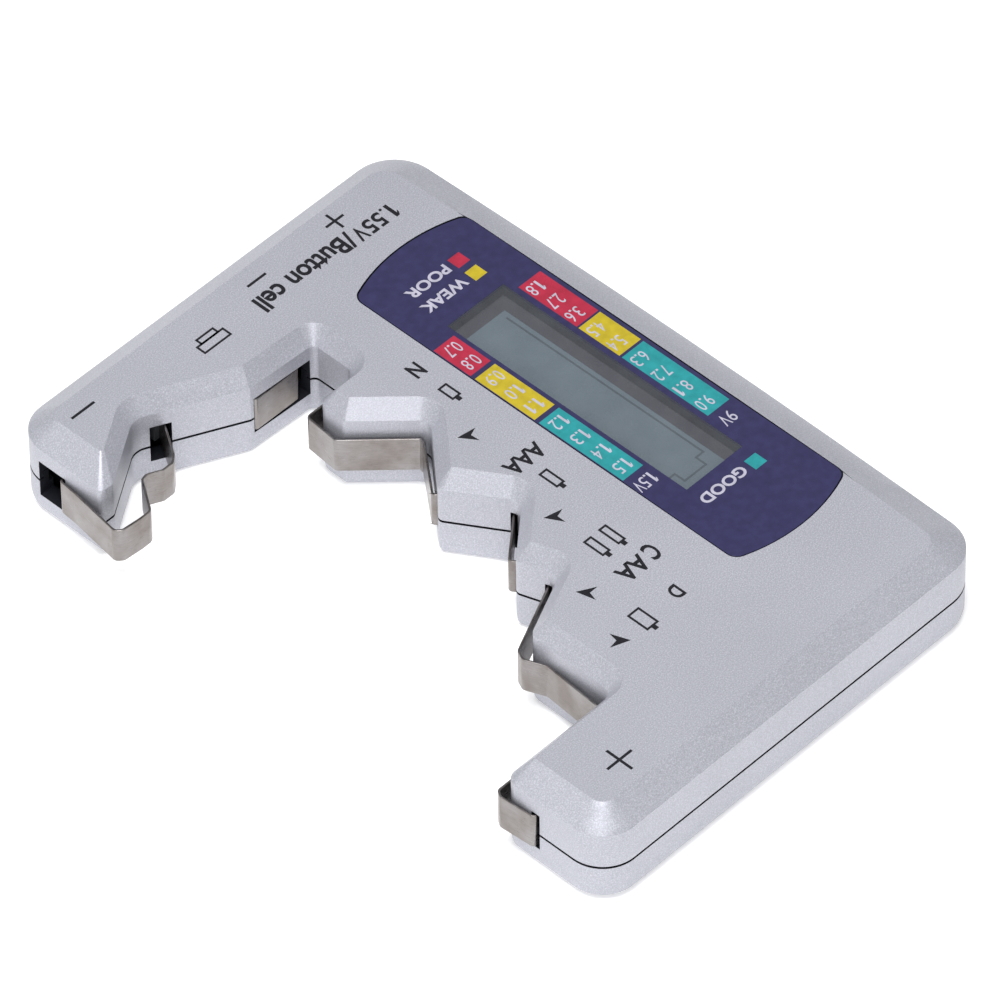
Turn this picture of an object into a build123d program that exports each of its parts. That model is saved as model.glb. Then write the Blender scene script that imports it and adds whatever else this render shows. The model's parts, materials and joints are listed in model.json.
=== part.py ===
from build123d import *
import math
import os

# Pocket battery tester: a flat comb-shaped case with an LCD, whose stepped bay holds round
# cells between a sprung negative contact and one positive contact strip for each cell size.
# Millimetres, +Z up. The case rests on z = 0, +Y runs along its length and +X towards the bay.

CASE_HEIGHT = 13.7
BEVEL_FOOT = 11.3
SEAM_LOW = 5.62
SEAM_HIGH = 5.98
FLOOR_THICKNESS = 1.6
ROOF_THICKNESS = 1.8
WALL_THICKNESS = 2.2
CAVITY_TOP = CASE_HEIGHT - ROOF_THICKNESS
LIP_TOP = 6.7
LIP_INSET = 0.7
LIP_CLEARANCE = 0.12

LENGTH = 97.0
HALF_LENGTH = LENGTH / 2
BAY_SIDE = 33.1
BACK_SIDE = -32.05
BACK_BOW = -33.2
BACK_BOW_RADIUS = 1500.0
MINUS_ARM_TIP = -33.3
PLUS_ARM_INNER = 32.6

OUTER_BEVEL = 3.2
BACK_BEVEL = 4.8
BAY_BEVEL = 1.7
TIP_BEVEL = 3.15
SMALLEST_RADIUS = 0.2

# Wall outline, anticlockwise: x, y, corner radius, plan width of the bevel after the corner.
OUTLINE = [
    (BAY_SIDE, -HALF_LENGTH, 5.0, OUTER_BEVEL),
    (BAY_SIDE, MINUS_ARM_TIP, 0.8, TIP_BEVEL),
    (31.1, MINUS_ARM_TIP, 0.8, BAY_BEVEL),
    (22.1, -39.0, 2.5, BAY_BEVEL),
    (8.9, -32.4, 0.3, BAY_BEVEL),
    (-1.5, -32.0, 1.0, BAY_BEVEL),
    (-1.5, -24.9, 1.5, BAY_BEVEL),
    (5.1, -24.9, 1.5, BAY_BEVEL),
    (5.1, -20.5, 0.8, BAY_BEVEL),
    (-2.1, -13.1, 1.6, BAY_BEVEL),
    (5.4, -4.7, 0.8, BAY_BEVEL),
    (0.0, 3.9, 1.6, BAY_BEVEL),
    (7.5, 10.0, 0.8, BAY_BEVEL),
    (5.7, 15.3, 1.2, BAY_BEVEL),
    (14.8, 19.4, 1.5, BAY_BEVEL),
    (14.8, PLUS_ARM_INNER, 1.5, BAY_BEVEL),
    (BAY_SIDE, PLUS_ARM_INNER, 1.8, OUTER_BEVEL),
    (BAY_SIDE, HALF_LENGTH, 5.0, OUTER_BEVEL),
    (BACK_SIDE, HALF_LENGTH, 5.5, BACK_BEVEL),
    (BACK_BOW, 0.0, BACK_BOW_RADIUS, BACK_BEVEL),
    (BACK_SIDE, -HALF_LENGTH, 6.0, OUTER_BEVEL),
]

# Height and share of the bevel width of the rounded lower edge.
FOOT_SECTIONS = [(0.0, 0.42), (0.35, 0.2), (0.9, 0.06), (1.8, 0.0)]

STRIP = 0.3
STRIP_LOW = 3.55
STRIP_HEIGHT = 5.3
SLOT_LOW = 3.3
SLOT_HEIGHT = 5.8
SLOT_WIDTH = 0.9
CUT = 0.5

NEGATIVE_TRAVEL = 3.0

WINDOW_X = -17.9
WINDOW_Y = -1.3
WINDOW_WIDTH = 9.65
WINDOW_LENGTH = 39.1
PANEL_THICKNESS = 0.5
PANEL_TOP = CASE_HEIGHT - 0.05
PANEL_LOW = PANEL_TOP - PANEL_THICKNESS
PANEL_GAP = 0.18
PANEL_LEFT = -27.9
PANEL_RIGHT = -8.86
PANEL_BOTTOM = -31.97
PANEL_TOP_EDGE = 29.76
PANEL_BULGE = 2.0
PANEL_CORNER = 1.6

BEZEL_RIM = 1.2
BEZEL_CLEARANCE = 0.1
LCD_WIDTH = 14.0
LCD_LENGTH = 46.0
LCD_TOP = 11.72
LCD_SHEET = 1.1
REFLECTOR = 0.15

BOARD_LOW = SEAM_LOW
BOARD_THICKNESS = 1.2
BOARD_TOP = BOARD_LOW + BOARD_THICKNESS
BOARD_WIDTH = 24.2
BOARD_LENGTH = 76.0
BOARD_X = -17.1

CASE_SCREWS = [(-26.3, -43.0), (-26.3, 43.0), (27.3, 42.6), (11.3, -38.0)]
BOARD_SCREWS = [(-27.0, -35.5), (-7.6, -30.0), (-27.0, 35.5), (-7.6, 28.0)]

SLIDER_LOW = 3.6
SLIDER_HEIGHT = 5.2
SLIDER_BAR_LOW = -42.95
SLIDER_BAR_HIGH = -41.75

NINE_VOLT_PLUS_X = -16.4
NINE_VOLT_MINUS_X = -2.9
NINE_VOLT_HALF_WIDTH = 2.6
NINE_VOLT_STAND_OFF = 0.45

# Contact strips in plan, each from its first end to its last.
NEGATIVE_PATH = [
    (27.2, -40.6),
    (33.4, -39.9),
    (33.62, -37.3),
    (34.7, -29.5),
    (33.9, -28.9),
    (31.3, -28.7),
    (29.5, -28.7),
    (26.6, -33.0),
    (25.7, -33.2),
    (23.9, -32.3),
    (22.2, -32.3),
    (21.1, -33.2),
    (16.2, -40.9),
]
NEGATIVE_BENDS = [0.5, 0.6, 0.8, 0.8, 0.6, 1.0, 0.5, 0.5, 0.8, 0.8, 0.7]
N_PATH = [
    (1.6, -21.2),
    (1.6, -25.88),
    (5.86, -25.88),
    (6.3, -20.77),
    (-0.75, -13.6),
    (-0.6, -12.8),
    (4.75, -6.25),
    (3.6, -5.0),
]
N_BENDS = [0.4, 0.5, 0.6, 0.4, 0.4, 0.4]
AAA_PATH = [(-3.4, -0.12), (6.3, 7.75), (5.1, 9.2)]
AAA_BENDS = [0.4]
C_PATH = [
    (2.4, 12.3),
    (15.9, 18.43),
    (16.5, 19.75),
    (15.3, 22.62),
    (15.85, 30.4),
    (15.85, 34.4),
]
C_BENDS = [0.8, 0.8, 0.8, 1.0]
D_PATH = [(29.2, 37.9), (33.4, 37.5), (33.75, 32.6), (33.2, 31.75), (18.4, 31.7), (17.9, 35.9)]
D_BENDS = [0.5, 0.5, 0.5, 0.5]

# Openings in the wall for the strips: x, y, angle of the opening, width, depth.
FIXED_SLOTS = [
    (1.6, -24.9, 0.0, SLOT_WIDTH, 5.2),
    (4.2, -5.7, 48.2, SLOT_WIDTH, 2.6),
    (-0.9, 1.95, -50.9, SLOT_WIDTH, 5.4),
    (5.7, 8.5, 39.1, SLOT_WIDTH, 2.6),
    (5.0, 13.5, -65.6, SLOT_WIDTH, 5.4),
    (15.85, PLUS_ARM_INNER, 0.0, SLOT_WIDTH, 5.2),
    (BAY_SIDE, 37.55, 90.0, 1.3, 5.2),
    (18.3, PLUS_ARM_INNER, 0.0, 1.3, 5.2),
]
TRAVEL_SLOTS = [
    (BAY_SIDE, -41.62, 90.0, 4.5, 5.2),
    (19.1, -37.3, -26.6, 2.8, 5.6),
    (3.8, -33.6, 0.0, 9.2, 5.2),
]

LEAD_RADIUS = 0.35


def cross(before, corner, after):
    """Sign of the turn at a corner: positive at an outward corner of an anticlockwise outline."""
    first = (corner[0] - before[0], corner[1] - before[1])
    second = (after[0] - corner[0], after[1] - corner[1])
    return first[0] * second[1] - first[1] * second[0]


def moved_line(start, end, distance):
    """A point and the direction of the line from start to end, moved to its left."""
    length = math.dist(start, end)
    direction = ((end[0] - start[0]) / length, (end[1] - start[1]) / length)
    point = (start[0] - direction[1] * distance, start[1] + direction[0] * distance)
    return point, direction


def meeting_point(first, second):
    """Where two lines, each given as a point and a direction, cross."""
    (x1, y1), (dx1, dy1) = first
    (x2, y2), (dx2, dy2) = second
    along = ((x2 - x1) * dy2 - (y2 - y1) * dx2) / (dx1 * dy2 - dy1 * dx2)
    return x1 + along * dx1, y1 + along * dy1


def case_wire(share, z):
    """The case outline at height z, each side moved in by its share of the bevel width."""
    count = len(OUTLINE)
    sides = []
    for index in range(count):
        start = OUTLINE[index]
        end = OUTLINE[(index + 1) % count]
        sides.append(moved_line(start[:2], end[:2], start[3] * share))
    points = []
    radii = []
    for index in range(count):
        corner = OUTLINE[index]
        x, y = meeting_point(sides[index - 1], sides[index])
        points.append((x, y, z))
        inset = share * min(corner[3], OUTLINE[index - 1][3])
        outward = cross(OUTLINE[index - 1], corner, OUTLINE[(index + 1) % count]) > 0
        change = -inset if outward else inset
        radii.append(max(corner[2] + change, SMALLEST_RADIUS))
    return FilletPolyline(*points, radius=radii, close=True).wire()


def case_prism(inset, low, high):
    """The case outline moved in by a constant wall and raised from low to high."""
    face = Face(case_wire(0.0, low))
    plan = offset(face, amount=-inset) if inset else face
    return extrude(plan, amount=high - low, dir=(0, 0, 1))


def strip(points, bends, low=STRIP_LOW, height=STRIP_HEIGHT, thickness=STRIP):
    """A strip of sheet metal that stands on edge and follows a path with rounded bends."""
    path = FilletPolyline(*[(x, y, low) for x, y in points], radius=bends)
    return extrude(trace(path, line_width=thickness), amount=height, dir=(0, 0, 1))


def slot_cutters(slots):
    """Blocks that open the side wall, each across its own contact strip."""
    cutters = []
    for x, y, angle, width, depth in slots:
        place = Location((x, y, SLOT_LOW + SLOT_HEIGHT / 2), (0, 0, angle))
        cutters.append(place * Box(width, depth, SLOT_HEIGHT))
    return cutters


def nine_volt_slots():
    """Pairs of openings in the end wall for the two staple-shaped nine volt contacts."""
    slots = []
    for centre in (NINE_VOLT_PLUS_X, NINE_VOLT_MINUS_X):
        for side in (-1, 1):
            slots.append((centre + side * NINE_VOLT_HALF_WIDTH, -HALF_LENGTH, 0.0, SLOT_WIDTH, 5.2))
    return slots


def pin(x, y, radius, low, high):
    """An upright cylinder between two heights."""
    return Pos(x, y, low) * Cylinder(radius, high - low, align=(Align.CENTER, Align.CENTER, Align.MIN))


def block(x_low, x_high, y_low, y_high, low, high):
    """An upright block given by its limits."""
    centre = ((x_low + x_high) / 2, (y_low + y_high) / 2, (low + high) / 2)
    return Pos(*centre) * Box(x_high - x_low, y_high - y_low, high - low)


def panel_plan(gap, z):
    """The display panel's outline: long sides straight, short ends bulged, corners rounded."""
    left = PANEL_LEFT - gap
    right = PANEL_RIGHT + gap
    bottom = PANEL_BOTTOM - gap
    top = PANEL_TOP_EDGE + gap
    middle = (left + right) / 2
    sides = [
        Line((left, top, z), (left, bottom, z)),
        ThreePointArc((left, bottom, z), (middle, bottom - PANEL_BULGE, z), (right, bottom, z)),
        Line((right, bottom, z), (right, top, z)),
        ThreePointArc((right, top, z), (middle, top + PANEL_BULGE, z), (left, top, z)),
    ]
    face = make_face(sides)
    return fillet(face.vertices(), PANEL_CORNER + gap)


def window_block(margin, low, high):
    """A block as large as the display window plus a margin on each side."""
    half_width = WINDOW_WIDTH / 2 + margin
    half_length = WINDOW_LENGTH / 2 + margin
    return block(
        WINDOW_X - half_width,
        WINDOW_X + half_width,
        WINDOW_Y - half_length,
        WINDOW_Y + half_length,
        low,
        high,
    )


def lcd_block(margin, low, high):
    """A block as large as the display's rear glass plus a margin on each side."""
    half_width = LCD_WIDTH / 2 + margin
    half_length = LCD_LENGTH / 2 + margin
    return block(
        WINDOW_X - half_width,
        WINDOW_X + half_width,
        WINDOW_Y - half_length,
        WINDOW_Y + half_length,
        low,
        high,
    )


def make_upper_shell():
    """Bevelled cover with the panel recess, the display opening, screw bosses and guide ribs."""
    wall = extrude(Face(case_wire(0.0, SEAM_HIGH)), amount=BEVEL_FOOT - SEAM_HIGH, dir=(0, 0, 1))
    bevel = Solid.make_loft([case_wire(0.0, BEVEL_FOOT), case_wire(1.0, CASE_HEIGHT)], ruled=True)
    shell = wall + bevel
    shell -= case_prism(WALL_THICKNESS, SEAM_HIGH - CUT, CAVITY_TOP)
    lip_space = LIP_INSET - LIP_CLEARANCE
    shell -= case_prism(lip_space, SEAM_HIGH - CUT, LIP_TOP + LIP_CLEARANCE)
    for x, y in CASE_SCREWS:
        shell += pin(x, y, 2.3, SEAM_HIGH, CAVITY_TOP + CUT)
        shell -= pin(x, y, 0.75, SEAM_HIGH - CUT, CAVITY_TOP - 1.0)
    for x in (15.6, 28.6):
        shell += block(x - 0.6, x + 0.6, -47.0, -40.2, SLIDER_LOW + SLIDER_HEIGHT + 0.2, CAVITY_TOP + CUT)
    shell -= extrude(panel_plan(PANEL_GAP, PANEL_LOW), amount=1.0, dir=(0, 0, 1))
    shell -= window_block(BEZEL_RIM + BEZEL_CLEARANCE, CAVITY_TOP - CUT, CASE_HEIGHT)
    for cutter in slot_cutters(FIXED_SLOTS + TRAVEL_SLOTS + nine_volt_slots()):
        shell -= cutter
    return shell


def make_lower_shell():
    """Base with rounded lower edge, locating lip, board posts and countersunk screw bosses."""
    layers = [case_wire(share, z) for z, share in FOOT_SECTIONS]
    body = extrude(Face(case_wire(0.0, FOOT_SECTIONS[-1][0])), amount=SEAM_LOW - FOOT_SECTIONS[-1][0], dir=(0, 0, 1))
    for lower, upper in zip(layers, layers[1:]):
        body += Solid.make_loft([lower, upper], ruled=True)
    body += case_prism(LIP_INSET, SEAM_LOW - CUT, LIP_TOP)
    cavity = case_prism(WALL_THICKNESS, FLOOR_THICKNESS, SEAM_LOW - 1.0)
    cavity += case_prism(LIP_INSET + 0.8, SEAM_LOW - 1.0, LIP_TOP + CUT)
    body -= cavity
    for x, y in CASE_SCREWS:
        body += pin(x, y, 2.3, FLOOR_THICKNESS - CUT, SEAM_LOW)
        body -= pin(x, y, 1.0, -CUT, SEAM_LOW + CUT)
        body -= pin(x, y, 2.0, -CUT, 2.2)
    for x, y in BOARD_SCREWS:
        body += pin(x, y, 1.9, FLOOR_THICKNESS - CUT, BOARD_LOW)
        body -= pin(x, y, 0.6, FLOOR_THICKNESS + 1.0, BOARD_LOW + CUT)
    for x in (15.6, 28.6):
        body += block(x - 0.6, x + 0.6, -47.0, -40.2, FLOOR_THICKNESS - CUT, SLIDER_LOW - 0.2)
    for cutter in slot_cutters(FIXED_SLOTS + TRAVEL_SLOTS + nine_volt_slots()):
        body -= cutter
    return body


def make_display_panel():
    """Printed overlay in the recess of the upper shell, open over the display."""
    panel = extrude(panel_plan(0.0, PANEL_LOW), amount=PANEL_THICKNESS, dir=(0, 0, 1))
    return panel - window_block(0.0, PANEL_LOW - CUT, PANEL_TOP + CUT)


def make_lcd_frame():
    """Dark holder that stands on the board, with a raised bezel round the window."""
    body_margin = 1.7
    frame = lcd_block(body_margin, BOARD_TOP, CAVITY_TOP - 0.05)
    frame -= lcd_block(0.1, BOARD_TOP - CUT, LCD_TOP + 0.05)
    frame += window_block(BEZEL_RIM, LCD_TOP + 0.06, PANEL_LOW - 0.04)
    return frame - window_block(0.0, LCD_TOP - CUT, CASE_HEIGHT)


def make_lcd_front_glass():
    """Front sheet of the liquid crystal display, set back from one contact ledge."""
    return lcd_block(-0.6, LCD_TOP - LCD_SHEET, LCD_TOP)


def make_lcd_rear_glass():
    """Rear sheet of the display, which carries the contact ledge."""
    high = LCD_TOP - LCD_SHEET
    return lcd_block(0.0, high - LCD_SHEET, high)


def make_lcd_reflector():
    """Thin reflector under the rear sheet."""
    high = LCD_TOP - 2 * LCD_SHEET
    return lcd_block(-1.9, high - REFLECTOR, high)


def make_zebra_strips():
    """Two rubber connector strips between the board and the edges of the rear glass."""
    high = LCD_TOP - 2 * LCD_SHEET
    strips = []
    for side in (-1, 1):
        centre = WINDOW_X + side * (LCD_WIDTH / 2 - 0.9)
        half = LCD_LENGTH / 2 - 1.5
        strips.append(block(centre - 0.7, centre + 0.7, WINDOW_Y - half, WINDOW_Y + half, BOARD_TOP, high))
    return Compound(strips)


def make_circuit_board():
    """Board on four posts, drilled for its screws."""
    x_low = BOARD_X - BOARD_WIDTH / 2
    board = block(x_low, x_low + BOARD_WIDTH, -BOARD_LENGTH / 2, BOARD_LENGTH / 2, BOARD_LOW, BOARD_TOP)
    for x, y in BOARD_SCREWS:
        board -= pin(x, y, 0.9, BOARD_LOW - CUT, BOARD_TOP + CUT)
    return board


def make_controller_blob():
    """Resin dome over the bonded measuring chip."""
    cap_radius = 4.0
    cap_height = 1.4
    sphere_radius = (cap_radius ** 2 + cap_height ** 2) / (2 * cap_height)
    dome = Pos(-17.0, 31.6, BOARD_TOP + cap_height - sphere_radius) * Sphere(sphere_radius)
    return dome & block(-30, 0, 20, 40, BOARD_TOP, BOARD_TOP + 5)


def make_chips(places, length, width, height):
    """A group of equal surface-mounted parts on the board."""
    chips = []
    for x, y in places:
        chips.append(
            block(x - length / 2, x + length / 2, y - width / 2, y + width / 2, BOARD_TOP, BOARD_TOP + height)
        )
    return Compound(chips)


def make_load_resistor():
    """Axial test-load resistor with its two bent legs."""
    y = -33.2
    z = BOARD_TOP + 1.2
    body = Pos(-17.2, y, z) * Rot(0, 90, 0) * Cylinder(1.1, 6.3)
    body += Pos(-17.2, y, z) * Rot(0, 90, 0) * Cylinder(0.3, 9.4)
    for side in (-1, 1):
        body += pin(-17.2 + side * 4.4, y, 0.3, BOARD_TOP, z)
    return body


def make_transistor():
    """Small three-legged regulator."""
    body = block(-12.5, -9.6, -29.0, -27.4, BOARD_TOP + 0.15, BOARD_TOP + 1.2)
    for x, y in ((-12.0, -29.6), (-10.1, -29.6)):
        body += block(x - 0.2, x + 0.2, y, y + 1.0, BOARD_TOP, BOARD_TOP + 0.6)
    return body


def make_contact_slider():
    """Plastic carriage of the negative contacts, which runs across the arm."""
    high = SLIDER_LOW + SLIDER_HEIGHT
    slider = block(1.4, 28.9, SLIDER_BAR_LOW, SLIDER_BAR_HIGH, SLIDER_LOW, high)
    slider += block(26.4, 28.9, SLIDER_BAR_LOW, -39.6, SLIDER_LOW, high)
    slider += block(14.8, 17.8, SLIDER_BAR_LOW, -39.9, SLIDER_LOW, high)
    slider += block(1.4, 7.7, SLIDER_BAR_LOW, -32.6, SLIDER_LOW, high)
    groove = strip(NEGATIVE_PATH, NEGATIVE_BENDS, SLIDER_LOW - CUT, SLIDER_HEIGHT + 1.0, STRIP + 0.04)
    return slider - groove


def make_button_cell_contact():
    """Negative plate for button cells, bonded to the nose of the slider."""
    points = [(0.85, -34.2), (0.85, -32.4), (8.15, -32.4), (8.15, -34.2)]
    return strip(points, [0.35, 0.35], SLIDER_LOW, SLIDER_HEIGHT)


def make_return_leaf_spring():
    """Bowed leaf between the end wall and the slider, which pushes the contact outwards."""
    bow = ThreePointArc((17.6, -46.0, 4.4), (22.2, -43.2, 4.4), (26.8, -46.0, 4.4))
    return extrude(trace(bow, line_width=0.25), amount=3.6, dir=(0, 0, 1))


def make_nine_volt_contact(centre):
    """Staple-shaped contact through the end wall for one terminal of a nine volt cell."""
    outside = -HALF_LENGTH - NINE_VOLT_STAND_OFF
    left = centre - NINE_VOLT_HALF_WIDTH
    right = centre + NINE_VOLT_HALF_WIDTH
    points = [(left, -44.9), (left, outside), (right, outside), (right, -44.9)]
    return strip(points, [0.5, 0.5])


def lead(start, end):
    """A straight round wire between two points."""
    line = Line(start, end)
    return sweep(Plane(origin=start, z_dir=line % 0) * Circle(LEAD_RADIUS), path=line)


def make_contact_leads():
    """Wires from the tails of the fixed contacts to their pads on the board."""
    z = BOARD_TOP + LEAD_RADIUS
    pad_x = -8.6
    tail_gap = STRIP / 2
    leads = []
    for x, y in ((1.6, -21.6), (-3.3, -0.05), (1.9, 12.3), (18.0, 35.2)):
        leads.append(lead((x - tail_gap - 0.1, y, z), (pad_x, y, z)))
    for centre in (NINE_VOLT_PLUS_X, NINE_VOLT_MINUS_X):
        x = centre - NINE_VOLT_HALF_WIDTH + tail_gap + LEAD_RADIUS
        leads.append(lead((x, -45.0, z), (x, -36.0, z)))
    return Compound(leads)


def make_negative_lead():
    """Flexible wire that follows the slider, bowed over to its pad on the board."""
    slider_top = SLIDER_LOW + SLIDER_HEIGHT + LEAD_RADIUS
    z = BOARD_TOP + LEAD_RADIUS
    route = [(4.0, -38.0, slider_top + 0.05), (-1.0, -38.0, slider_top + 0.4), (-6.5, -34.0, z + 0.3), (-9.5, -34.0, z)]
    path = FilletPolyline(*route, radius=[2.0, 1.2])
    return sweep(Plane(origin=path @ 0, z_dir=path % 0) * Circle(LEAD_RADIUS), path=path)


def make_screws(places, head_radius, shank_radius, head_low, head_high, tip):
    """A group of cross-head screws; the tip is below or above the head."""
    screws = []
    for x, y in places:
        low = min(head_low, tip)
        high = max(head_high, tip)
        recess = 0.45
        screw = pin(x, y, head_radius, head_low, head_high) + pin(x, y, shank_radius, low, high)
        outer = head_low if tip > head_high else head_high
        for length, width in ((2.0, 0.45), (0.45, 2.0)):
            screw -= Pos(x, y, outer) * Box(length, width, 2 * recess)
        screws.append(screw)
    return Compound(screws)


def nodes():
    """Every separate piece of the tester, by node name."""
    pieces = {
        "upper_shell": make_upper_shell(),
        "lower_shell": make_lower_shell(),
        "display_panel": make_display_panel(),
        "lcd_frame": make_lcd_frame(),
        "lcd_front_glass": make_lcd_front_glass(),
        "lcd_rear_glass": make_lcd_rear_glass(),
        "lcd_reflector": make_lcd_reflector(),
        "zebra_strips": make_zebra_strips(),
        "circuit_board": make_circuit_board(),
        "controller_blob": make_controller_blob(),
        "load_resistor": make_load_resistor(),
        "transistor": make_transistor(),
        "contact_slider": make_contact_slider(),
        "negative_contact": strip(NEGATIVE_PATH, NEGATIVE_BENDS),
        "button_cell_contact": make_button_cell_contact(),
        "return_leaf_spring": make_return_leaf_spring(),
        "n_cell_contact": strip(N_PATH, N_BENDS),
        "aaa_cell_contact": strip(AAA_PATH, AAA_BENDS),
        "aa_c_cell_contact": strip(C_PATH, C_BENDS),
        "d_cell_contact": strip(D_PATH, D_BENDS),
        "nine_volt_positive_contact": make_nine_volt_contact(NINE_VOLT_PLUS_X),
        "nine_volt_negative_contact": make_nine_volt_contact(NINE_VOLT_MINUS_X),
        "contact_leads": make_contact_leads(),
        "negative_lead": make_negative_lead(),
    }
    resistor_places = [(-26.0 + 3.2 * index, 26.2) for index in range(6)]
    capacitor_places = [(-26.0 + 3.6 * index, -30.0) for index in range(4)]
    pieces["chip_resistors"] = make_chips(resistor_places, 2.0, 1.25, 0.5)
    pieces["chip_capacitors"] = make_chips(capacitor_places, 2.0, 1.25, 1.2)
    pieces["case_screws"] = make_screws(CASE_SCREWS, 1.8, 0.73, 1.1, 2.2, 9.6)
    pieces["board_screws"] = make_screws(BOARD_SCREWS, 1.5, 0.58, BOARD_TOP, BOARD_TOP + 0.9, 3.0)
    return pieces


os.makedirs("parts", exist_ok=True)
for name, piece in nodes().items():
    export_step(piece, os.path.join("parts", name + ".step"))
    print(name, round(piece.volume, 2), piece.is_valid)
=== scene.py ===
import json
import math
import bmesh
import bpy
from mathutils import Matrix, Vector
from mathutils.bvhtree import BVHTree


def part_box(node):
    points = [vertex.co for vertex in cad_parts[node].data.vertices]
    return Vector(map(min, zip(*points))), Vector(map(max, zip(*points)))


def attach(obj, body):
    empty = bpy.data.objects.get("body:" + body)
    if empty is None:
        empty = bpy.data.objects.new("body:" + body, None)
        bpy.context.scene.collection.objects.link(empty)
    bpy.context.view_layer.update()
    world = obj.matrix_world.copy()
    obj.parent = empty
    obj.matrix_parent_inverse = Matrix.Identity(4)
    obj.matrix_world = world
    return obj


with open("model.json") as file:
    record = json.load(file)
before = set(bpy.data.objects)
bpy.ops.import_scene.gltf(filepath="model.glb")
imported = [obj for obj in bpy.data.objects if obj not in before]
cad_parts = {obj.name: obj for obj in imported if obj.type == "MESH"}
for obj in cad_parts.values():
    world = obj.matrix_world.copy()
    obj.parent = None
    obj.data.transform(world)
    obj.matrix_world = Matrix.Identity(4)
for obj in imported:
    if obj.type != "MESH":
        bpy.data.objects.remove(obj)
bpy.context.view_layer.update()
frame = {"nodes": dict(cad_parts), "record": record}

# Lengths below are in millimetres in the part's own frame, and MM turns them into metres.
MM = 0.001
CASE = "case"
CASE_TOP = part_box("upper_shell")[1].z / MM
PANEL_LOW_CORNER, PANEL_HIGH_CORNER = [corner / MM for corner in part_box("display_panel")]
PANEL_TOP = PANEL_HIGH_CORNER.z
LCD_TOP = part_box("lcd_front_glass")[1].z / MM
INK_DEPTH = 0.02
INK_PROUD = 0.012

# Display window in the panel and the part of the display that shows: left, right, bottom, top.
WINDOW = (-22.725, -13.075, -20.85, 18.25)
VIEWING_AREA = (-20.9, -13.2, -18.9, 17.4)


# ---------------------------------------------------------------- materials

# Noise seldom leaves this band, so ramps and ranges are spread over it.
NOISE_LOW = 0.3
NOISE_HIGH = 0.7


def new_material(name):
    """An empty principled material, with its node tree and shader."""
    material = bpy.data.materials.new(name)
    material.use_nodes = True
    tree = material.node_tree
    shader = tree.nodes["Principled BSDF"]
    return material, tree, shader


def noise(tree, scale, detail=2.0, stretch=(1.0, 1.0, 1.0)):
    """Noise over object coordinates, in features per metre."""
    coordinates = tree.nodes.new("ShaderNodeTexCoord")
    mapping = tree.nodes.new("ShaderNodeMapping")
    mapping.inputs["Scale"].default_value = stretch
    texture = tree.nodes.new("ShaderNodeTexNoise")
    texture.inputs["Scale"].default_value = scale
    texture.inputs["Detail"].default_value = detail
    tree.links.new(coordinates.outputs["Object"], mapping.inputs["Vector"])
    tree.links.new(mapping.outputs["Vector"], texture.inputs["Vector"])
    return texture.outputs["Fac"]


def ramp(tree, factor, stops):
    """A colour ramp with the given (position, colour) stops."""
    node = tree.nodes.new("ShaderNodeValToRGB")
    elements = node.color_ramp.elements
    while len(elements) < len(stops):
        elements.new(0.5)
    for element, (position, colour) in zip(elements, stops):
        element.position = position
        element.color = (*colour, 1.0)
    tree.links.new(factor, node.inputs["Fac"])
    return node.outputs["Color"]


def blend_colours(tree, mode, amount, first, second):
    """One colour socket laid over another."""
    node = tree.nodes.new("ShaderNodeMix")
    node.data_type = "RGBA"
    node.blend_type = mode
    node.inputs["Factor"].default_value = amount
    tree.links.new(first, node.inputs["A"])
    tree.links.new(second, node.inputs["B"])
    return node.outputs["Result"]


def grey(value):
    """A neutral colour."""
    return (value, value, value)


def bump(tree, shader, height, strength, distance):
    """Surface relief from a height socket, distance in metres."""
    node = tree.nodes.new("ShaderNodeBump")
    node.inputs["Strength"].default_value = strength
    node.inputs["Distance"].default_value = distance
    tree.links.new(height, node.inputs["Height"])
    tree.links.new(node.outputs["Normal"], shader.inputs["Normal"])


def remap(tree, factor, low, high):
    """A noise value spread between two numbers."""
    node = tree.nodes.new("ShaderNodeMapRange")
    node.inputs["From Min"].default_value = NOISE_LOW
    node.inputs["From Max"].default_value = NOISE_HIGH
    node.inputs["To Min"].default_value = low
    node.inputs["To Max"].default_value = high
    tree.links.new(factor, node.inputs["Value"])
    return node.outputs["Result"]


def silver_paint():
    """Metallic silver spray paint: fine bright and dark flakes over a cool grey."""
    material, tree, shader = new_material("silver_paint")
    flakes = noise(tree, 6500.0, 3.0)
    stops = [(0.28, (0.36, 0.365, 0.405)), (0.5, (0.44, 0.445, 0.50)), (0.72, (0.60, 0.61, 0.66))]
    base = ramp(tree, flakes, stops)
    cloud = ramp(tree, noise(tree, 60.0, 3.0), [(NOISE_LOW, grey(0.94)), (NOISE_HIGH, grey(1.0))])
    colour = blend_colours(tree, "MULTIPLY", 1.0, base, cloud)
    tree.links.new(colour, shader.inputs["Base Color"])
    tree.links.new(remap(tree, flakes, 0.36, 0.52), shader.inputs["Roughness"])
    shader.inputs["Metallic"].default_value = 0.3
    bump(tree, shader, flakes, 0.12, 0.00002)
    return material


def glossy_print(name, colour, roughness=0.22):
    """Ink under a clear gloss layer, with faint unevenness."""
    material, tree, shader = new_material(name)
    low = tuple(0.86 * channel for channel in colour)
    high = tuple(min(1.0, 1.1 * channel) for channel in colour)
    shade = ramp(tree, noise(tree, 900.0, 4.0), [(NOISE_LOW, low), (NOISE_HIGH, high)])
    tree.links.new(shade, shader.inputs["Base Color"])
    polish = remap(tree, noise(tree, 250.0, 2.0), roughness - 0.06, roughness + 0.08)
    tree.links.new(polish, shader.inputs["Roughness"])
    bump(tree, shader, noise(tree, 180.0, 2.0), 0.08, 0.00005)
    return material


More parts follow.
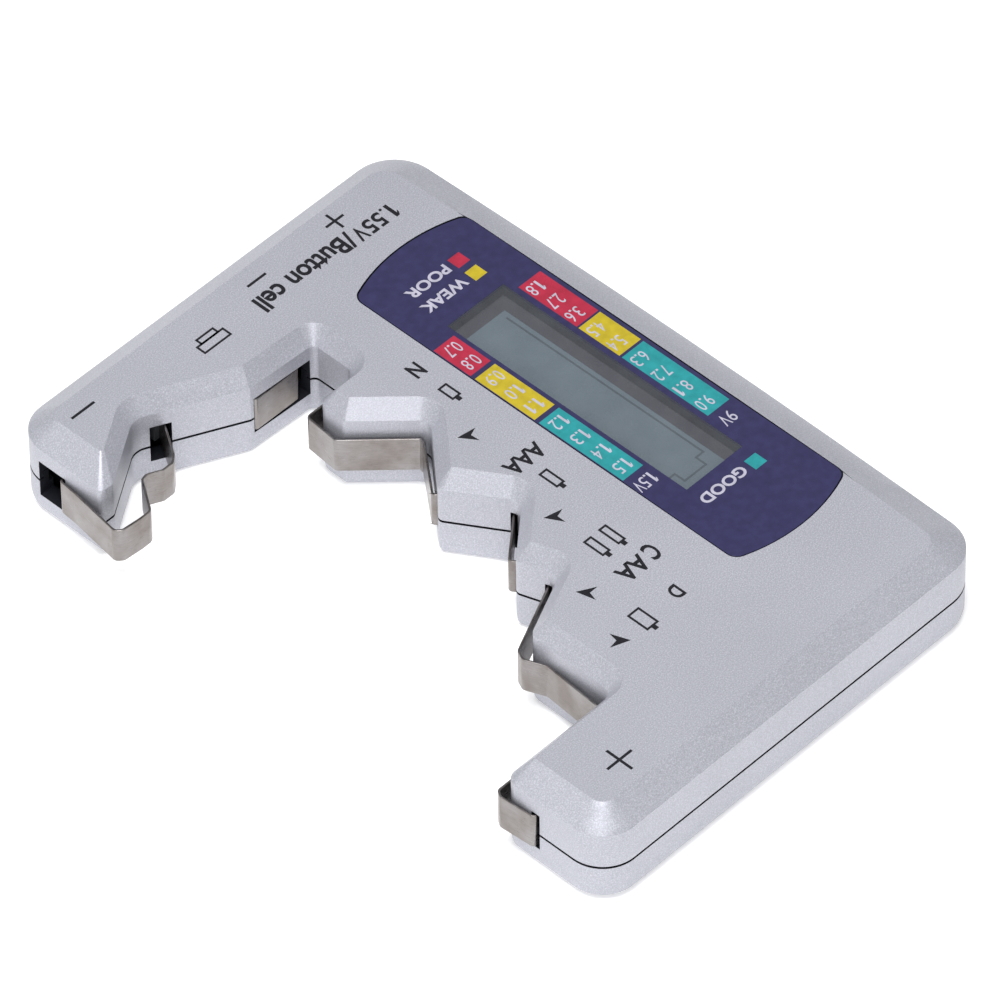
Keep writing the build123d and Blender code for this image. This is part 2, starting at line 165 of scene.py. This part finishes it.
def matte_moulding(name, colour, roughness=0.6, gloss=0.5):
    """Moulded plastic or rubber with a fine spark-eroded grain."""
    material, tree, shader = new_material(name)
    low = tuple(0.75 * channel for channel in colour)
    high = tuple(min(1.0, 1.25 * channel) for channel in colour)
    grain = noise(tree, 3000.0, 4.0)
    tree.links.new(ramp(tree, grain, [(NOISE_LOW, low), (NOISE_HIGH, high)]), shader.inputs["Base Color"])
    tree.links.new(remap(tree, grain, roughness - 0.08, roughness + 0.1), shader.inputs["Roughness"])
    shader.inputs["Specular IOR Level"].default_value = gloss
    bump(tree, shader, grain, 0.3, 0.00004)
    return material


def nickel_strip():
    """Nickel-plated sheet: satin, drawn lengthwise, with a faint brown stain."""
    material, tree, shader = new_material("nickel_strip")
    stops = [(0.32, (0.22, 0.194, 0.18)), (0.66, (0.315, 0.298, 0.295))]
    stain = ramp(tree, noise(tree, 260.0, 4.0), stops)
    scuffs = noise(tree, 900.0, 5.0, (1.0, 1.0, 7.0))
    lines = ramp(tree, scuffs, [(NOISE_LOW, grey(0.8)), (NOISE_HIGH, grey(1.0))])
    tree.links.new(blend_colours(tree, "MULTIPLY", 1.0, stain, lines), shader.inputs["Base Color"])
    tree.links.new(remap(tree, scuffs, 0.24, 0.42), shader.inputs["Roughness"])
    shader.inputs["Metallic"].default_value = 1.0
    bump(tree, shader, scuffs, 0.12, 0.00003)
    return material


def screw_steel():
    """Zinc-plated screw steel."""
    material, tree, shader = new_material("screw_steel")
    marks = noise(tree, 2400.0, 4.0)
    shade = ramp(tree, marks, [(NOISE_LOW, grey(0.32)), (NOISE_HIGH, grey(0.52))])
    tree.links.new(shade, shader.inputs["Base Color"])
    tree.links.new(remap(tree, marks, 0.25, 0.45), shader.inputs["Roughness"])
    shader.inputs["Metallic"].default_value = 1.0
    return material


def lcd_material(name, colour):
    """Grey-green display surface with the soft haze of its polariser."""
    material, tree, shader = new_material(name)
    low = tuple(0.9 * channel for channel in colour)
    shade = ramp(tree, noise(tree, 90.0, 3.0), [(NOISE_LOW, low), (NOISE_HIGH, colour)])
    tree.links.new(shade, shader.inputs["Base Color"])
    tree.links.new(remap(tree, noise(tree, 500.0, 2.0), 0.2, 0.3), shader.inputs["Roughness"])
    bump(tree, shader, noise(tree, 4000.0, 2.0), 0.05, 0.00001)
    return material


def window_film():
    """Clear film over the display, almost invisible apart from its gloss."""
    material, tree, shader = new_material("window_film")
    stops = [(NOISE_LOW, (0.10, 0.105, 0.12)), (NOISE_HIGH, (0.14, 0.15, 0.165))]
    haze = ramp(tree, noise(tree, 300.0, 3.0), stops)
    tree.links.new(haze, shader.inputs["Base Color"])
    tree.links.new(remap(tree, noise(tree, 400.0, 2.0), 0.06, 0.12), shader.inputs["Roughness"])
    shader.inputs["Alpha"].default_value = 0.22
    return material


def board_laminate():
    """Green circuit board with its woven glass showing through."""
    material, tree, shader = new_material("board_laminate")
    weave = tree.nodes.new("ShaderNodeTexWave")
    coordinates = tree.nodes.new("ShaderNodeTexCoord")
    weave.inputs["Scale"].default_value = 900.0
    tree.links.new(coordinates.outputs["Object"], weave.inputs["Vector"])
    stops = [(0.2, (0.012, 0.10, 0.035)), (0.8, (0.02, 0.14, 0.05))]
    tree.links.new(ramp(tree, weave.outputs["Fac"], stops), shader.inputs["Base Color"])
    shader.inputs["Roughness"].default_value = 0.35
    bump(tree, shader, weave.outputs["Fac"], 0.2, 0.00002)
    return material


# ---------------------------------------------------------------- meshes

def finish_piece(name, mesh, material, body=CASE):
    """Links a mesh as a named piece that rides on a body."""
    piece = bpy.data.objects.new(name, mesh)
    bpy.context.scene.collection.objects.link(piece)
    mesh.materials.clear()
    mesh.materials.append(material)
    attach(piece, body)
    return piece


def add_plate(mesh, outline, low, high):
    """Adds a flat plate with the given outline between two heights to a bmesh."""
    bottom = [mesh.verts.new((x * MM, y * MM, low * MM)) for x, y in outline]
    top = [mesh.verts.new((x * MM, y * MM, high * MM)) for x, y in outline]
    count = len(outline)
    mesh.faces.new(list(reversed(bottom)))
    mesh.faces.new(top)
    for index in range(count):
        following = (index + 1) % count
        mesh.faces.new((bottom[index], bottom[following], top[following], top[index]))


def rectangle(left, right, bottom, top):
    """Corners of a rectangle, anticlockwise."""
    return [(left, bottom), (right, bottom), (right, top), (left, top)]


def add_frame(mesh, left, right, bottom, top, stroke, low, high):
    """Adds the outline of a rectangle, drawn with a stroke of even width."""
    add_plate(mesh, rectangle(left, right, bottom, bottom + stroke), low, high)
    add_plate(mesh, rectangle(left, right, top - stroke, top), low, high)
    add_plate(mesh, rectangle(left, left + stroke, bottom + stroke, top - stroke), low, high)
    add_plate(mesh, rectangle(right - stroke, right, bottom + stroke, top - stroke), low, high)


TEXT_HALF_DEPTH = 0.5
WELD_DISTANCE = 0.000002


def add_text(mesh, text, left, right, bottom, height, low, high, weight=0.0):
    """Adds lettering fitted between two sides, standing on a baseline."""
    curve = bpy.data.curves.new("lettering", "FONT")
    curve.body = text
    curve.extrude = TEXT_HALF_DEPTH
    curve.offset = weight
    curve.resolution_u = 4
    holder = bpy.data.objects.new("lettering", curve)
    bpy.context.scene.collection.objects.link(holder)
    bpy.context.view_layer.update()
    glyphs = bpy.data.meshes.new_from_object(holder.evaluated_get(bpy.context.evaluated_depsgraph_get()))
    bpy.data.objects.remove(holder)
    xs = [vertex.co.x for vertex in glyphs.vertices]
    ys = [vertex.co.y for vertex in glyphs.vertices]
    for vertex in glyphs.vertices:
        x = left + (vertex.co.x - min(xs)) / (max(xs) - min(xs)) * (right - left)
        y = bottom + (vertex.co.y - min(ys)) / (max(ys) - min(ys)) * height
        z = low + (vertex.co.z + TEXT_HALF_DEPTH) * (high - low)
        vertex.co = (x * MM, y * MM, z * MM)
    mesh.from_mesh(glyphs)
    bpy.data.meshes.remove(glyphs)


# The figure one, as shares of its height (stem, flag) and of its width (places across).
ONE_STEM_HALF = 0.085
ONE_STEM_PLACE = 0.66
ONE_FLAG_PLACE = 0.08
ONE_FLAG_UPPER = 0.21
ONE_FLAG_LOWER = 0.35
ONE_FLAG_ROOT = 0.19


def add_one(mesh, left, right, bottom, height, low, high, weight):
    """The figure one: a stem with a slanted flag."""
    stem = ONE_STEM_HALF * height + weight * height
    middle = left + ONE_STEM_PLACE * (right - left)
    start = left + ONE_FLAG_PLACE * (right - left)
    top = bottom + height
    stem_outline = rectangle(middle - stem, middle + stem, bottom, top)
    flag = [
        (middle - stem, top),
        (start, top - ONE_FLAG_UPPER * height),
        (start, top - ONE_FLAG_LOWER * height),
        (middle - stem, top - ONE_FLAG_ROOT * height),
    ]
    add_plate(mesh, stem_outline, low, high)
    add_plate(mesh, flag, low, high)


# Widths of the glyphs and of the gap between two, as shares of an ordinary figure's width.
ADVANCE = {".": 0.42, "/": 0.62, "V": 1.15, "1": 0.72}
GLYPH_GAP = 0.17
DOT_SIZE = 0.15


def add_label(mesh, text, left, right, bottom, height, low, high, weight):
    """Figures laid out one by one between two sides, so that each one keeps its own width."""
    widths = [ADVANCE.get(glyph, 1.0) for glyph in text]
    unit = (right - left) / (sum(widths) + GLYPH_GAP * (len(text) - 1))
    x = left
    for glyph, width in zip(text, widths):
        end = x + width * unit
        if glyph == "1":
            add_one(mesh, x, end, bottom, height, low, high, weight)
        elif glyph == ".":
            dot = DOT_SIZE * height
            middle = (x + end) / 2
            add_plate(mesh, rectangle(middle - dot / 2, middle + dot / 2, bottom, bottom + dot), low, high)
        else:
            add_text(mesh, glyph, x, end, bottom, height, low, high, weight)
        x = end + GLYPH_GAP * unit


def to_mesh(name, working):
    """Turns a bmesh into a mesh with its faces pointing outwards."""
    bmesh.ops.recalc_face_normals(working, faces=working.faces)
    mesh = bpy.data.meshes.new(name)
    working.to_mesh(mesh)
    working.free()
    return mesh


# ---------------------------------------------------------------- print on the panel

SCALE_LEFT = (-27.3, -23.55)
SCALE_RIGHT = (-12.45, -8.98)
NINE_VOLT_BLOCKS = [
    ("red", -19.1, -9.5, ("1.8", "2.7", "3.6")),
    ("yellow", -9.2, -2.5, ("4.5", "5.4")),
    ("teal", -2.1, 11.9, ("6.3", "7.2", "8.1", "9.0")),
]
CELL_BLOCKS = [
    ("red", -19.2, -13.1, ("0.7", "0.8")),
    ("yellow", -12.4, -2.6, ("0.9", "1.0", "1.1")),
    ("teal", -1.9, 11.8, ("1.2", "1.3", "1.4", "1.5")),
]
DIGIT_HEIGHT = 1.9
NINE_VOLT_DIGITS = (-25.95, -23.85)
CELL_DIGITS = (-11.8, -9.65)
GRADES = [
    ("red", -22.9, -28.45, "POOR", 6.8),
    ("yellow", -22.8, -25.5, "WEAK", 7.1),
    ("teal", -23.0, 20.05, "GOOD", 7.3),
]
GRADE_SQUARE = 1.95
GRADE_HEIGHT = 1.68
GRADE_TEXT_LEFT = 2.75
GRADE_WEIGHT = 0.03
UNIT_BASELINE = 12.9


def scale_rows(blocks, left, right):
    """Every number of a scale with its place: text, left, right, baseline."""
    rows = []
    for _, bottom, top, numbers in blocks:
        pitch = (top - bottom) / len(numbers)
        for index, number in enumerate(numbers):
            base = bottom + (index + 0.5) * pitch - DIGIT_HEIGHT / 2
            rows.append((number, left, right, base))
    return rows


def build_panel_print(inks):
    """Coloured scale blocks, grade squares and white lettering on the display panel."""
    low = PANEL_TOP - INK_DEPTH
    block_top = PANEL_TOP + INK_PROUD
    for colour in ("red", "yellow", "teal"):
        working = bmesh.new()
        for blocks, (left, right) in ((NINE_VOLT_BLOCKS, SCALE_LEFT), (CELL_BLOCKS, SCALE_RIGHT)):
            for name, bottom, top, _ in blocks:
                if name == colour:
                    add_plate(working, rectangle(left, right, bottom, top), low, block_top)
        for name, left, bottom, _, _ in GRADES:
            if name == colour:
                square = rectangle(left, left + GRADE_SQUARE, bottom, bottom + GRADE_SQUARE)
                add_plate(working, square, low, block_top)
        finish_piece("panel_" + colour + "_blocks", to_mesh(colour, working), inks[colour])
    text_top = PANEL_TOP + 2 * INK_PROUD
    working = bmesh.new()
    rows = scale_rows(NINE_VOLT_BLOCKS, *NINE_VOLT_DIGITS) + scale_rows(CELL_BLOCKS, *CELL_DIGITS)
    rows.append(("9V", NINE_VOLT_DIGITS[0], NINE_VOLT_DIGITS[1], UNIT_BASELINE))
    rows.append(("1.5V", SCALE_RIGHT[0] + 0.3, SCALE_RIGHT[1] - 0.1, UNIT_BASELINE))
    for number, left, right, base in rows:
        add_label(working, number, left, right, base, DIGIT_HEIGHT, low, text_top, 0.0)
    for _, left, bottom, word, width in GRADES:
        start = left + GRADE_TEXT_LEFT
        add_text(working, word, start, start + width, bottom, GRADE_HEIGHT, low, text_top, GRADE_WEIGHT)
    finish_piece("panel_lettering", to_mesh("panel_lettering", working), inks["white"])


# ---------------------------------------------------------------- print on the case

STROKE = 0.3
CELL_NUB = 0.62
CELL_NUB_HALF_WIDTH = 0.32
ARROW_NOTCH = 0.68
ARROW_LENGTH = 2.45
CASE_TEXT_WEIGHT = 0.026
SIGN_HALF_STROKE = STROKE / 1.6


def add_cell_icon(mesh, left, right, bottom, top, low, high):
    """A round cell from the side, with its contact nub filled in."""
    add_frame(mesh, left, right, bottom, top, STROKE, low, high)
    middle = (left + right) / 2
    nub = rectangle(middle - CELL_NUB_HALF_WIDTH, middle + CELL_NUB_HALF_WIDTH, top, top + CELL_NUB)
    add_plate(mesh, nub, low, high)


def add_arrow(mesh, tip, heading, length, half_width, low, high):
    """A notched arrowhead whose tip points along heading, in degrees from +X."""
    along = Vector((math.cos(math.radians(heading)), math.sin(math.radians(heading))))
    across = Vector((-along.y, along.x))
    point = Vector(tip)
    left = point - along * length + across * half_width
    notch = point - along * length * ARROW_NOTCH
    right = point - along * length - across * half_width
    for outline in ((point, left, notch), (point, notch, right)):
        add_plate(mesh, [tuple(corner) for corner in outline], low, high)


def build_case_print(ink):
    """Black marks on the case: cell names, icons, arrows, polarity signs."""
    low = CASE_TOP - INK_DEPTH
    high = CASE_TOP + INK_PROUD
    working = bmesh.new()
    texts = [
        ("/Button cell", -15.95, 0.1, -40.9, 2.95),
        ("N", -6.07, -4.35, -19.7, 2.45),
        ("AAA", -6.5, -0.7, -0.3, 2.5),
        ("C", -3.75, -2.2, 20.65, 2.8),
        ("AA", -1.65, 2.6, 21.0, 2.6),
        ("D", -1.0, 0.5, 27.4, 2.2),
    ]
    for text, left, right, bottom, height in texts:
        add_text(working, text, left, right, bottom, height, low, high, CASE_TEXT_WEIGHT)
    add_label(working, "1.55V", -23.0, -16.2, -40.4, 2.45, low, high, 0.02)
    for left, right, bottom, top in (
        (-6.15, -4.65, -14.45, -11.85),
        (-4.25, -2.8, 3.85, 6.95),
        (-2.45, -1.12, 15.1, 18.5),
        (0.1, 1.5, 15.15, 18.45),
        (4.5, 6.52, 26.95, 30.3),
    ):
        add_cell_icon(working, left, right, bottom, top, low, high)
    for tip, heading in (
        ((-0.61, -7.23), -32.0),
        ((1.81, 9.13), -37.0),
        ((7.78, 19.99), -52.0),
    ):
        add_arrow(working, tip, heading, ARROW_LENGTH, 1.05, low, high)
    add_arrow(working, (8.94, 29.9), 135.0, ARROW_LENGTH, 1.1, low, high)
    add_frame(working, 5.5, 10.13, -40.25, -38.6, STROKE, low, high)
    add_frame(working, 6.3, 9.35, -41.15, -40.25 + STROKE, STROKE, low, high)
    for x, y, arm in ((23.4, 41.7, 2.05), (-16.4, -42.9, 1.5)):
        half = SIGN_HALF_STROKE
        add_plate(working, rectangle(x - arm, x + arm, y - half, y + half), low, high)
        add_plate(working, rectangle(x - half, x + half, y + half, y + arm), low, high)
        add_plate(working, rectangle(x - half, x + half, y - arm, y - half), low, high)
    for left, right, y in ((24.7, 28.5, -42.7), (-4.45, -1.3, -42.8)):
        add_plate(working, rectangle(left, right, y - SIGN_HALF_STROKE, y + SIGN_HALF_STROKE), low, high)
    finish_piece("case_lettering", to_mesh("case_lettering", working), ink)


# ---------------------------------------------------------------- display

POLARISER_THICKNESS = 0.12
OUTLINE_STROKE = 0.28
OUTLINE_MARGIN = 0.6
OUTLINE_TOP_MARGIN = 3.2
OUTLINE_FOOT_MARGIN = 1.0
OUTLINE_NUB_HALF_WIDTH = 1.7
OUTLINE_NUB_HEIGHT = 1.9
FILM_CLEARANCE = 0.02
FILM_THICKNESS = 0.05


def build_display(viewing, segment, film):
    """Polariser over the display's active area, the cell outline it shows and the window film."""
    left, right, bottom, top = VIEWING_AREA
    working = bmesh.new()
    add_plate(working, rectangle(left, right, bottom, top), LCD_TOP, LCD_TOP + POLARISER_THICKNESS)
    finish_piece("lcd_polariser", to_mesh("lcd_polariser", working), viewing)
    working = bmesh.new()
    low = LCD_TOP + POLARISER_THICKNESS - 0.02
    high = LCD_TOP + POLARISER_THICKNESS + 0.01
    line = OUTLINE_STROKE
    body_left = left + OUTLINE_MARGIN
    body_right = right - OUTLINE_MARGIN
    body_top = top - OUTLINE_TOP_MARGIN
    nub_top = body_top + OUTLINE_NUB_HEIGHT
    middle = (left + right) / 2
    nub_left = middle - OUTLINE_NUB_HALF_WIDTH
    nub_right = middle + OUTLINE_NUB_HALF_WIDTH
    strokes = [
        (body_left, body_left + line, bottom + OUTLINE_FOOT_MARGIN, body_top),
        (body_right - line, body_right, bottom + OUTLINE_FOOT_MARGIN, body_top),
        (body_left, nub_left, body_top, body_top + line),
        (nub_right, body_right, body_top, body_top + line),
        (nub_left - line, nub_left, body_top + line, nub_top),
        (nub_right, nub_right + line, body_top + line, nub_top),
        (nub_left, nub_right, nub_top - line, nub_top),
    ]
    for stroke in strokes:
        add_plate(working, rectangle(*stroke), low, high)
    finish_piece("lcd_cell_outline", to_mesh("lcd_cell_outline", working), segment)
    working = bmesh.new()
    left, right, bottom, top = WINDOW
    gap = FILM_CLEARANCE
    outline = rectangle(left + gap, right - gap, bottom + gap, top - gap)
    add_plate(working, outline, PANEL_TOP - FILM_THICKNESS, PANEL_TOP)
    finish_piece("window_film", to_mesh("window_film", working), film)


# ---------------------------------------------------------------- carried-over nodes

def soften(node, width, angle=20.0, segments=3):
    """Rounds a node's edges with modifiers; the node's own mesh stays as it is."""
    piece = frame["nodes"][node]
    weld = piece.modifiers.new("weld", "WELD")
    weld.merge_threshold = WELD_DISTANCE
    edge = piece.modifiers.new("edge", "BEVEL")
    edge.width = width * MM
    edge.segments = segments
    edge.limit_method = "ANGLE"
    edge.angle_limit = math.radians(angle)
    edge.harden_normals = True


PROBE_DISTANCE = 0.04
RECESS_MARGIN = 0.4
RECESS_DEPTH = 4.0
RECESS_RIM = 0.02


def paint_inside(dark):
    """Leaves the shells' cavity, slots, seam, panel recess and window walls near black: partly bare moulded
    plastic where paint doesn't reach, partly painted shade in these hollows and gaps.
    """
    shells = [frame["nodes"]["upper_shell"], frame["nodes"]["lower_shell"]]
    corners = []
    triangles = []
    for shell in shells:
        first = len(corners)
        corners.extend(shell.matrix_world @ vertex.co for vertex in shell.data.vertices)
        triangles.extend([first + index for index in face.vertices] for face in shell.data.polygons)
    case = BVHTree.FromPolygons(corners, triangles)
    up = Vector((0.0, 0.0, 1.0))
    for shell in shells:
        shell.data.materials.append(dark)
        for face in shell.data.polygons:
            centre = shell.matrix_world @ face.center
            normal = (shell.matrix_world.to_3x3() @ face.normal).normalized()
            start = centre + normal * PROBE_DISTANCE * MM
            covered = case.ray_cast(start, up)[0] and case.ray_cast(start, -up)[0]
            place = centre / MM
            over_panel = all(
                PANEL_LOW_CORNER[axis] - RECESS_MARGIN < place[axis] < PANEL_HIGH_CORNER[axis] + RECESS_MARGIN
                for axis in (0, 1)
            )
            in_recess = over_panel and CASE_TOP - RECESS_DEPTH < place.z < CASE_TOP - RECESS_RIM
            face.material_index = 1 if covered or in_recess else 0


def dress_nodes():
    """Gives every CAD node its material, and softens the edges that are seen."""
    dark = matte_moulding("dark_plastic", (0.075, 0.08, 0.088), 0.5)
    materials = {
        "silver_paint": silver_paint(),
        "panel_print": glossy_print("panel_navy", (0.033, 0.031, 0.093)),
        "dark_plastic": dark,
        "lcd_glass": lcd_material("lcd_border", (0.125, 0.125, 0.145)),
        "reflector_foil": lcd_material("reflector_foil", (0.6, 0.62, 0.6)),
        "zebra_rubber": matte_moulding("zebra_rubber", (0.28, 0.13, 0.12), 0.7),
        "board_laminate": board_laminate(),
        "chip_resin": matte_moulding("chip_resin", (0.02, 0.02, 0.022), 0.4),
        "component_ceramic": matte_moulding("component_ceramic", (0.42, 0.29, 0.18), 0.45),
        "nickel_strip": nickel_strip(),
        "screw_steel": screw_steel(),
        "wire_jacket": glossy_print("wire_jacket", (0.42, 0.03, 0.03), 0.35),
    }
    slots = {part["node"]: part["material_slot"] for part in frame["record"]["subparts"]}
    for node, piece in frame["nodes"].items():
        piece.data.materials.clear()
        piece.data.materials.append(materials[slots[node]])
    # Near-black for the hidden and recessed shell faces: bare moulding, with painted shade for the dark gaps,
    # seam and hollows.
    paint_inside(matte_moulding("bare_plastic_and_painted_shade", (0.012, 0.013, 0.018), 0.6, 0.2))
    soften("upper_shell", 0.3)
    soften("display_panel", 0.1)
    soften("lower_shell", 0.22)
    for node in (
        "negative_contact",
        "button_cell_contact",
        "n_cell_contact",
        "aaa_cell_contact",
        "aa_c_cell_contact",
        "d_cell_contact",
    ):
        soften(node, 0.09, 40.0, 2)


# ---------------------------------------------------------------- studio

CAMERA_AZIMUTH = 134.2
CAMERA_ELEVATION = 46.95
CAMERA_ROLL = -0.7
CAMERA_DISTANCE = 1.3135
CAMERA_LENS = 396.0
CAMERA_TARGET = Vector((-5.95, -5.51, 0.0)) * MM
FLOOR_REACH = 1500.0
FLOOR_THICKNESS = 2.0
# Azimuth and elevation in degrees, distance and diameter in metres, power in watts.
SOFTBOXES = [
    ("key", 40.0, 30.0, 0.9, 0.4, 2.4),
    ("overhead", 20.0, 80.0, 1.0, 0.6, 9.8),
    ("side", -35.0, 35.0, 1.0, 0.5, 0.6),
]


def build_camera():
    """A long lens at the photograph's viewing angle."""
    azimuth = math.radians(CAMERA_AZIMUTH)
    elevation = math.radians(CAMERA_ELEVATION)
    forward = Vector((
        -math.sin(azimuth) * math.cos(elevation),
        math.cos(azimuth) * math.cos(elevation),
        -math.sin(elevation),
    ))
    right = Vector((math.cos(azimuth), math.sin(azimuth), 0.0))
    up = right.cross(forward)
    turn = math.radians(CAMERA_ROLL)
    rolled_right = math.cos(turn) * right + math.sin(turn) * up
    rolled_up = -math.sin(turn) * right + math.cos(turn) * up
    data = bpy.data.cameras.new("camera")
    data.lens = CAMERA_LENS
    data.sensor_width = 36.0
    data.clip_end = 10.0
    camera = bpy.data.objects.new("camera", data)
    bpy.context.scene.collection.objects.link(camera)
    rotation = Matrix((rolled_right, rolled_up, -forward)).transposed()
    camera.matrix_world = Matrix.Translation(CAMERA_TARGET - forward * CAMERA_DISTANCE) @ rotation.to_4x4()
    bpy.context.scene.camera = camera


def add_softbox(name, azimuth, elevation, distance, size, power):
    """An area light aimed at the object from a compass direction, 0 along +X."""
    turn = math.radians(azimuth)
    lift = math.radians(elevation)
    direction = Vector((math.cos(turn) * math.cos(lift), math.sin(turn) * math.cos(lift), math.sin(lift)))
    data = bpy.data.lights.new(name, "AREA")
    data.shape = "DISK"
    data.size = size
    data.energy = power
    light = bpy.data.objects.new(name, data)
    bpy.context.scene.collection.objects.link(light)
    light.location = direction * distance
    light.rotation_euler = (-direction).to_track_quat("-Z", "Y").to_euler()


def build_studio():
    """Pale floor, white surroundings and soft lights."""
    working = bmesh.new()
    square = rectangle(-FLOOR_REACH, FLOOR_REACH, -FLOOR_REACH, FLOOR_REACH)
    add_plate(working, square, -FLOOR_THICKNESS, 0.0)
    mesh = to_mesh("floor", working)
    floor = bpy.data.objects.new("floor", mesh)
    bpy.context.scene.collection.objects.link(floor)
    material, tree, shader = new_material("floor")
    shade = ramp(tree, noise(tree, 3.0, 2.0), [(NOISE_LOW, grey(0.9)), (NOISE_HIGH, grey(0.93))])
    tree.links.new(shade, shader.inputs["Base Color"])
    shader.inputs["Roughness"].default_value = 0.9
    shader.inputs["Emission Color"].default_value = (1.0, 1.0, 1.0, 1.0)
    shader.inputs["Emission Strength"].default_value = 0.3
    mesh.materials.append(material)
    world = bpy.data.worlds.new("world")
    bpy.context.scene.world = world
    world.use_nodes = True
    background = world.node_tree.nodes["Background"]
    background.inputs["Color"].default_value = (0.97, 0.98, 1.0, 1.0)
    background.inputs["Strength"].default_value = 0.26
    for softbox in SOFTBOXES:
        add_softbox(*softbox)
    bpy.context.scene.view_settings.view_transform = "Standard"


# ---------------------------------------------------------------- build

dress_nodes()
inks = {
    "red": glossy_print("ink_red", (0.41, 0.025, 0.056)),
    "yellow": glossy_print("ink_yellow", (0.50, 0.39, 0.024)),
    "teal": glossy_print("ink_teal", (0.024, 0.28, 0.30)),
    "white": glossy_print("ink_white", (0.47, 0.46, 0.55)),
}
build_panel_print(inks)
build_case_print(matte_moulding("ink_black", (0.012, 0.012, 0.016), 0.6, 0.2))
build_display(
    lcd_material("lcd_viewing_area", (0.24, 0.315, 0.365)),
    lcd_material("lcd_segment", (0.13, 0.165, 0.195)),
    window_film(),
)
build_studio()
build_camera()
